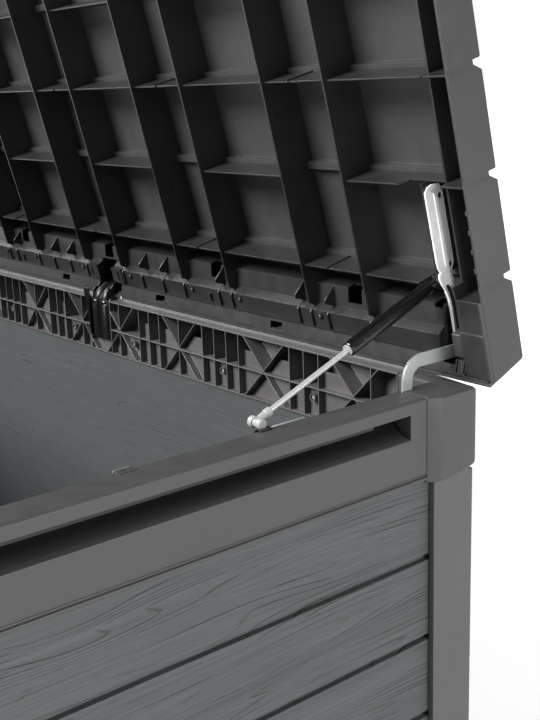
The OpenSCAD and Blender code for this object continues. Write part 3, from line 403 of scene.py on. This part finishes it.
finish = {
    "frame": moulded_resin("frame_resin", (0.040, 0.0395, 0.040), cloud=0.06, roughness=0.48),
    "post": moulded_resin("post_resin", (0.060, 0.0595, 0.060), roughness=0.48),
    "truss": moulded_resin("truss_resin", (0.068, 0.066, 0.065), cloud=0.08, roughness=0.33),
    # painted shade: the recess liner is near black and lightens towards the rim's outer end
    "recess": moulded_resin("recess_resin", (0.0035, 0.0035, 0.0037), cloud=0.06, roughness=0.55,
                            specular=0.1, painted_shade_fades_to=(0.7320, 0.7524, (0.095, 0.094, 0.095))),
    "shade": moulded_resin("shaded_resin", (0.010, 0.010, 0.0102), cloud=0.06, roughness=0.5, specular=0.3),
    "plank_x": plank_resin("plank_resin_long", (0.040, 0.0445, 0.0455), along=0.0, contrast=0.75,
                           depth=0.18 * mm),
    "plank_y": plank_resin("plank_resin_end", (0.046, 0.0515, 0.0525), along=1.0, contrast=1.0,
                           depth=0.8 * mm),
    "lid": moulded_resin("lid_resin", (0.031, 0.0305, 0.031)),
    # the lid's inside is its own resin painted darker, as shade
    "lid_inner": moulded_resin("lid_inner_resin", (0.018, 0.018, 0.0182), cloud=0.12, roughness=0.33),
    "zinc": bright_metal("zinc_plate", (0.36, 0.38, 0.38), roughness=0.38),
    # the arm plate's zinc is pale plating whitened further as a painted highlight
    "arm_zinc": bright_metal("arm_zinc", (0.98, 0.98, 0.98), roughness=0.40, metallic=0.1),
    # dark zinc that paints the shade inside the arm bar's hollow
    "dull_zinc": bright_metal("dull_zinc", (0.05, 0.052, 0.053), roughness=0.34),
    "loop": moulded_resin("loop_resin", (0.004, 0.004, 0.0043), cloud=0.0, roughness=0.34, specular=0.28),
    "gloss_black": moulded_resin("gloss_black", (0.004, 0.004, 0.0045), cloud=0.0, roughness=0.14),
    "rod": bright_metal("ground_rod", (0.42, 0.42, 0.42), roughness=0.30),
    "nylon": moulded_resin("white_nylon", (0.26, 0.27, 0.265), cloud=0.04, roughness=0.4),
    # the rim clip is painted dark grey as shade past |X| = 0.7135
    "clip": bright_metal("clip_zinc", (0.45, 0.46, 0.46), roughness=0.40, painted_shade_beyond=0.7135),
    "foot": moulded_resin("foot_black", (0.010, 0.010, 0.011), roughness=0.35),
}


# ---------------------------------------------------------------- opening and shaping a piece

def only(piece):
    """Selects one piece alone and makes it the active one."""
    bpy.ops.object.select_all(action="DESELECT")
    piece.hide_set(False)
    piece.select_set(True)
    bpy.context.view_layer.objects.active = piece


def start_edit(piece, mode="VERT"):
    """Opens a piece for work on its points (VERT) or its faces (FACE)."""
    only(piece)
    bpy.ops.object.mode_set(mode="EDIT")
    bpy.ops.mesh.select_mode(type=mode)


def edit_all(piece, mode="VERT"):
    """Opens a piece with everything selected."""
    start_edit(piece, mode)
    bpy.ops.mesh.select_all(action="SELECT")


def end_edit():
    """Closes the piece that is open."""
    bpy.ops.object.mode_set(mode="OBJECT")


def pick_points(piece, test):
    """Opens a piece with only the points whose place passes the test selected."""
    start_edit(piece)
    bpy.ops.mesh.select_all(action="DESELECT")
    end_edit()
    for point in piece.data.vertices:
        point.select = test(point.co)
    bpy.ops.object.mode_set(mode="EDIT")


def pull(way):
    """Extrudes what is selected by the vector way."""
    bpy.ops.mesh.extrude_region_move(TRANSFORM_OT_translate={"value": way})


def face_outward():
    """Turns every face of the open piece to look out of it."""
    bpy.ops.mesh.select_all(action="SELECT")
    bpy.ops.mesh.normals_make_consistent(inside=False)


def outline(name, points):
    """A flat face with its corners moved one by one to the given points."""
    bpy.ops.mesh.primitive_circle_add(vertices=len(points), radius=1.0, fill_type="NGON")
    piece = bpy.context.object
    piece.name = name
    for number, point in enumerate(points):
        only(piece)
        corner = piece.data.vertices[number].co.copy()
        pick_points(piece, lambda place: (place - corner).length < 1e-6)
        bpy.ops.transform.translate(value=Vector(point) - corner)
        end_edit()
    return piece


def plate(name, points, way, rounding=0.0):
    """An outline extruded by the vector way, its edges rounded."""
    piece = outline(name, points)
    edit_all(piece, "FACE")
    pull(way)
    face_outward()
    if rounding:
        bpy.ops.mesh.bevel(offset=rounding, segments=3, affect="EDGES")
    end_edit()
    return piece


def rounded(piece, width, segments):
    """Rounds the sharp edges of the active piece."""
    rounding = piece.modifiers.new("rounding", "BEVEL")
    rounding.width = width
    rounding.segments = segments
    bpy.ops.object.modifier_apply(modifier=rounding.name)


def opened(piece):
    """Swings a piece drawn on the shut lid up to the lid's rest place."""
    edit_all(piece)
    bpy.ops.transform.rotate(value=lid_swing, orient_axis="X", center_override=hinge_axis)
    end_edit()
    return piece


def settle(piece, body, material):
    """Gives a finished piece its shading, finish and body."""
    only(piece)
    bpy.ops.object.shade_smooth_by_angle(angle=smooth_angle)
    piece.data.materials.clear()
    piece.data.materials.append(finish[material])
    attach(piece, body)


def copy_of(piece, name, shift):
    """A copy with its own mesh, moved by shift."""
    again = bpy.data.objects.new(name, piece.data.copy())
    bpy.context.scene.collection.objects.link(again)
    edit_all(again)
    bpy.ops.transform.translate(value=shift)
    end_edit()
    return again


def other_hand(piece, name):
    """A copy with its own mesh, mirrored to the other end of the box."""
    again = copy_of(piece, name, (0, 0, 0))
    edit_all(again)
    bpy.ops.transform.resize(value=(-1, 1, 1), center_override=(0, 0, 0))
    bpy.ops.mesh.normals_make_consistent(inside=False)
    end_edit()
    return again


def both_hands(piece, stem, body, material):
    """Settles a right-hand piece and its mirrored twin."""
    piece.name = stem + "_right"
    settle(piece, body, material)
    settle(other_hand(piece, stem + "_left"), body, material)


def on_lid(x, f, u):
    """A point of the shut lid, in mm: x along it, f forward of its rear edge, u up from its underside."""
    return x * mm, lid_rear - f * mm, lid_low + u * mm


def by_pin(x, y, z):
    """A point of the box, in mm: x along it, y back and z up from the hinge's axis."""
    return x * mm, hinge_axis[1] + y * mm, hinge_axis[2] + z * mm


def by_rim(x, y, z):
    """A point of the box, in mm: x along it, y back and z up from the top of the rim."""
    return x * mm, y * mm, rim_top + z * mm


# ---------------------------------------------------------------- dressed frame pieces

def dressed(node, material, width):
    """A copy of a frame node, its triangles joined, corners rounded by width and flats kept flat."""
    piece = bpy.data.objects.new(node + "_dressed", nodes[node].data.copy())
    bpy.context.scene.collection.objects.link(piece)
    edit_all(piece)
    bpy.ops.mesh.remove_doubles(threshold=0.02 * mm)
    bpy.ops.mesh.tris_convert_to_quads(face_threshold=math.radians(0.5), shape_threshold=math.pi)
    end_edit()
    if width:
        bevel = piece.modifiers.new("soft_corners", "BEVEL")
        bevel.width = width
        bevel.segments = 2
        bevel.limit_method = "ANGLE"
        bevel.angle_limit = corner_angle
        bevel.use_clamp_overlap = False
        bpy.ops.object.modifier_apply(modifier=bevel.name)
    bpy.ops.object.shade_smooth_by_angle(angle=smooth_angle)
    flats = piece.modifiers.new("flat_faces", "WEIGHTED_NORMAL")
    flats.weight = 100
    flats.keep_sharp = True
    bpy.ops.object.modifier_apply(modifier=flats.name)
    piece.data.materials.clear()
    piece.data.materials.append(finish[material])
    body = [b for b, members in behaviour["bodies"].items() if node in members][0]
    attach(piece, body)
    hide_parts(node)


def dress_all():
    """Dresses every frame node: its slot, its finish and how far its corners are rounded, in mm."""
    plan = {
        "floor_panel": ("frame_resin", "frame", 0.4),
        "rim_front": ("frame_resin", "frame", 0.8),
        "rim_left": ("frame_resin", "frame", 0.8),
        "rim_right": ("frame_resin", "frame", 0.8),
        "rear_rail": ("frame_resin", "truss", 0.5),
        "rear_rail_screws": ("zinc_steel", "zinc", 0.2),
        "lock_lug_rim": ("zinc_steel", "zinc", 0.4),
        "middle_hinge_base": ("black_resin", "gloss_black", 0.8),
        "middle_hinge_leaf": ("black_resin", "gloss_black", 0.6),
        "middle_hinge_pin": ("zinc_steel", "zinc", 0.4),
        "lid_shell": ("lid_resin", "lid", 0.5),
        "lid_ribs": ("lid_resin", "lid_inner", 0.5),
        "lid_shelves": ("lid_resin", "lid_inner", 0.5),
        "lid_end_blocks": ("lid_resin", "lid_inner", 0.8),
        "lid_hinge_rail": ("lid_resin", "lid_inner", 0.3),
        "lid_screws": ("zinc_steel", "zinc", 0.2),
        "lock_lug_lid": ("lid_resin", "lid", 0.8),
    }
    for end in ("front", "rear"):
        plan["wall_" + end] = ("plank_resin", "plank_x", 0.8)
        for side in ("left", "right"):
            plan[f"post_{end}_{side}"] = ("frame_resin", "post", 1.2)
            plan[f"cap_{end}_{side}"] = ("frame_resin", "frame", 1.5)
    for side in ("left", "right"):
        plan["wall_" + side] = ("plank_resin", "plank_y", 0.8)
        plan["gooseneck_" + side] = ("zinc_steel", "zinc", 0.6)
        plan["hinge_pin_" + side] = ("zinc_steel", "zinc", 0.3)
        plan["strut_foot_" + side] = ("black_resin", "foot", 0.4)
        plan["rim_clip_" + side] = ("zinc_steel", "clip", 0.2)
        plan["hinge_arm_" + side] = ("zinc_steel", "arm_zinc", 0.6)
        plan["pivot_cover_" + side] = ("lid_resin", "lid", 1.2)
        plan["strut_stud_" + side] = ("zinc_steel", "zinc", 0.3)
        plan["strut_rod_" + side] = ("rod_steel", "rod", 0)
        plan["rod_end_" + side] = ("white_nylon", "nylon", 0.5)
        plan["strut_tube_" + side] = ("tube_black", "gloss_black", 0.2)
        plan["tube_ring_" + side] = ("white_nylon", "nylon", 0.2)
        plan["tube_end_" + side] = ("tube_black", "gloss_black", 0.6)
    for node, (slot, material, width) in plan.items():
        dressed(node, material, width * mm)


# ---------------------------------------------------------------- small pieces made here

def cap_crowns():
    """The rear caps' tops run back over the rear rail and fall away only at the corner."""
    cap_rear = 350.5
    crown_rear = 361.6
    top = ((663.5, cap_rear), (663.5, crown_rear), (690, crown_rear), (722, 357.6), (756, 351.7),
           (756, cap_rear))
    crown = plate("cap_crown", [by_rim(x, y, 0) for x, y in top], (0, 0, -10.5 * mm))
    # the foot of the crown follows the cap's rear face
    pick_points(crown, lambda place: place.z < rim_top - 5 * mm and place.y > (cap_rear + 0.2) * mm)
    bpy.ops.transform.resize(value=(1, 0, 1), center_override=(0, crown_rear * mm, 0))
    end_edit()
    both_hands(crown, "cap_crown", "box", "frame")


def hinge_rolls():
    """Two stout loops of glossy resin that rise up the middle hinge and bend back to its pin."""
    apart = 13.5
    radius = 11.5
    rise = 55.0
    bends = 6
    bend_centre = by_pin(0, -21.0, -33.8)
    for side, hand in (("right", 1), ("left", -1)):
        bpy.ops.mesh.primitive_circle_add(vertices=28, radius=radius * mm, fill_type="NGON",
                                          location=by_pin(hand * apart, -37.0, -94.0))
        roll = bpy.context.object
        roll.name = "middle_hinge_roll_" + side
        bpy.ops.object.transform_apply(location=True, rotation=True, scale=True)
        edit_all(roll, "FACE")
        pull((0, 0, rise * mm))
        # the loops draw together above the rim, to pass between the lid rail's two blocks
        pull((hand * -3.0 * mm, 1.2 * mm, 5.2 * mm))
        bpy.ops.transform.resize(value=(0.92, 0.92, 1))
        for _ in range(bends):
            pull((0, 0, 0))
            bpy.ops.transform.rotate(value=math.radians(10), orient_axis="X", center_override=bend_centre)
        pull((0, 10.0 * mm, 5.8 * mm))
        face_outward()
        end_edit()
        settle(roll, "box", "loop")


def hinge_cheeks():
    """Side cheeks of the middle hinge, and the flange at its left that widens upwards."""
    low = ((-44.0, -95.0), (-44.0, -32.0), (-41.5, -28.4), (-29.0, -28.4), (-29.0, -37.0), (-36.0, -95.0))
    high = ((-43.0, -55.0), (-44.0, -25.0), (-42.5, -17.0), (-39.0, -13.8), (-35.0, -12.8), (-30.0, -7.5),
            (-21.0, -2.5), (-15.0, -3.0), (-12.0, -12.0), (-17.0, -28.0), (-26.5, -55.0))
    for name, x, width, side in (("cheek_low", 25.5, 4.2, low), ("cheek_high", 19.6, 1.6, high)):
        cheek = plate(name, [by_pin(x, y, z) for y, z in side], (width * mm, 0, 0), 0.4 * mm)
        both_hands(cheek, "middle_hinge_" + name, "box", "gloss_black")
    face = ((-29.0, -94.0), (-40.0, -45.0), (-44.0, -25.0), (-43.0, -19.0), (-39.0, -16.0), (-29.0, -16.0))
    front = [by_pin(x, -44.8, z) for x, z in face]
    flange = plate("middle_hinge_flange", front, (0, -2.6 * mm, 0), 0.7 * mm)
    settle(flange, "box", "gloss_black")


def lid_corner_trims():
    """A trim along the lid's end skirt that closes the joint beside each corner plate."""
    strip = ((3.2, 0.6), (96, 0.6), (96, 5.8), (3.2, 5.8))
    trim = plate("lid_corner_trim", [on_lid(776.0, f, u) for f, u in strip], (3.1 * mm, 0, 0), 0.5 * mm)
    both_hands(opened(trim), "lid_corner_trim", "lid", "lid")


def lip_ticks():
    """Short ribs along the lid's rear lip, at each end."""
    count = 8
    spacing = 7.3
    side = ((0.4, -0.9), (3.6, -0.9), (3.6, 0.4), (0.4, 0.4))
    first = opened(plate("lip_tick", [on_lid(717.0, f, u) for f, u in side], (1.3 * mm, 0, 0), 0.3 * mm))
    for number in range(count):
        tick = copy_of(first, f"lip_tick_{number}", (number * spacing * mm, 0, 0))
        both_hands(tick, f"lip_tick_{number}", "lid", "lid")
    bpy.data.objects.remove(first)


def screw_seats():
    """Raised ring round each screw in the lid's hinge rail."""
    for number, x in enumerate(screw_at):
        bpy.ops.mesh.primitive_cylinder_add(vertices=28, radius=4.8 * mm, depth=1.2 * mm,
                                            location=on_lid(x, 43, 1.3))
        seat = bpy.context.object
        bpy.ops.object.transform_apply(location=True, rotation=True, scale=True)
        start_edit(seat, "FACE")
        bpy.ops.mesh.select_all(action="DESELECT")
        end_edit()
        for face in seat.data.polygons:
            face.select = face.normal.z < -0.9
        bpy.ops.object.mode_set(mode="EDIT")
        bpy.ops.mesh.inset(thickness=1.1 * mm)
        pull((0, 0, 0.9 * mm))
        end_edit()
        rounded(seat, 0.3 * mm, 2)
        both_hands(opened(seat), f"screw_seat_{number}", "lid", "lid_inner")


def arm_details():
    """Fold along each hinge arm's plate, and a dark strip of painted shade in the hollow down the middle of
    its bar.
    """
    plate_face = 715.9
    fold_middle = (165, 26.1)
    root = ((123, 27.2), (206, 27.2), (206, 25.0), (123, 25.0))
    ridge = plate("arm_fold", [on_lid(plate_face, f, u) for f, u in root], (1.0 * mm, 0, 0))
    # the fold narrows to its crest
    pick_points(ridge, lambda place: place.x > (plate_face + 0.6) * mm)
    bpy.ops.transform.resize(value=(1, 1, 0.15), center_override=on_lid(plate_face, *fold_middle))
    end_edit()
    both_hands(opened(ridge), "arm_fold", "lid", "arm_zinc")
    # painted shade: a thin dark zinc strip on the bar's face stands for the dark inside of its hollow
    pressed = ((46, 27.2), (70, 27.0), (84, 26.2), (93, 24.2), (101, 21.5),
               (101, 25.5), (94, 29.5), (84, 31.4), (70, 32.2), (46, 32.4))
    hollow = plate("arm_hollow", [on_lid(715.8, f, u) for f, u in pressed], (0.3 * mm, 0, 0))
    both_hands(opened(hollow), "arm_hollow", "lid", "dull_zinc")


def rim_edge_highlights():
    """Painted highlight: a bright zinc strip on each end rim's inner edge, behind the strut's foot."""
    side = ((106.0, -3.8), (150.0, -3.8), (150.0, 0.6), (106.0, 0.6))
    strip = plate("rim_strip", [by_rim(712.2, y, z) for y, z in side], (1.5 * mm, 0, 0), 0.3 * mm)
    both_hands(strip, "rim_strip", "box", "zinc")


def recess_shade_liners():
    """Painted shade: a dark grained skin that follows the swept floor of each end rim's hand recess,
    lighter towards the outer end.
    """
    outer = 753.0
    low = -42.0
    high = -15.0
    length = 524.0
    swept = [(-0.9, low + 0.3), (-8.4, low + 2.0), (-16.2, low + 8.4), (-22.6, low + 15.8),
             (-25.0, high - 6.1), (-25.0, high - 0.2)]
    behind = [(x - 0.3, z - 0.2) for x, z in reversed(swept)]
    section = [by_rim(outer + x, -length / 2, z) for x, z in swept + behind]
    liner = plate("recess_liner", section, (0, length * mm, 0))
    both_hands(liner, "recess_liner", "box", "recess")
    # a dark strip of painted shade under the opening's upper edge, which stops short of the rear
    edge = ((751.8, -18.3), (751.8, -14.7), (748.0, -14.7), (748.0, -18.3))
    lip = plate("recess_lip", [by_rim(x, -261.5, z) for x, z in edge], (0, 470.0 * mm, 0))
    both_hands(lip, "recess_lip", "box", "shade")


def foot_cups():
    """White cup over each strut foot's stud."""
    x, y, z = strut_pivot
    bpy.ops.mesh.primitive_cylinder_add(vertices=32, radius=5.3 * mm, depth=7.4 * mm,
                                        location=(x + 8.5 * mm, y, z), rotation=(0, math.pi / 2, 0))
    cup = bpy.context.object
    bpy.ops.object.transform_apply(location=True, rotation=True, scale=True)
    rounded(cup, 0.9 * mm, 3)
    both_hands(cup, "foot_cup", "box", "nylon")


def rail_fins():
    """Fins that stand out of the hinge rail's lower face under every gusset and rib."""
    side = ((26.6, -1.2), (47.0, -1.4), (49.6, 1.6), (49.6, 3.2), (26.6, 3.2))
    first = opened(plate("rail_fin", [on_lid(-1.0, f, u) for f, u in side], (2.0 * mm, 0, 0), 0.3 * mm))
    for number, x in enumerate(gusset_at + rib_at):
        fin = copy_of(first, f"rail_fin_{number}", (x * mm, 0, 0))
        both_hands(fin, f"rail_fin_{number}", "lid", "lid_inner")
    bpy.data.objects.remove(first)


# ---------------------------------------------------------------- the whole box

bpy.ops.object.select_all(action="DESELECT")
aim_camera()
studio()
dress_all()
cap_crowns()
hinge_rolls()
hinge_cheeks()
lid_corner_trims()
lip_ticks()
screw_seats()
arm_details()
rim_edge_highlights()
recess_shade_liners()
foot_cups()
rail_fins()
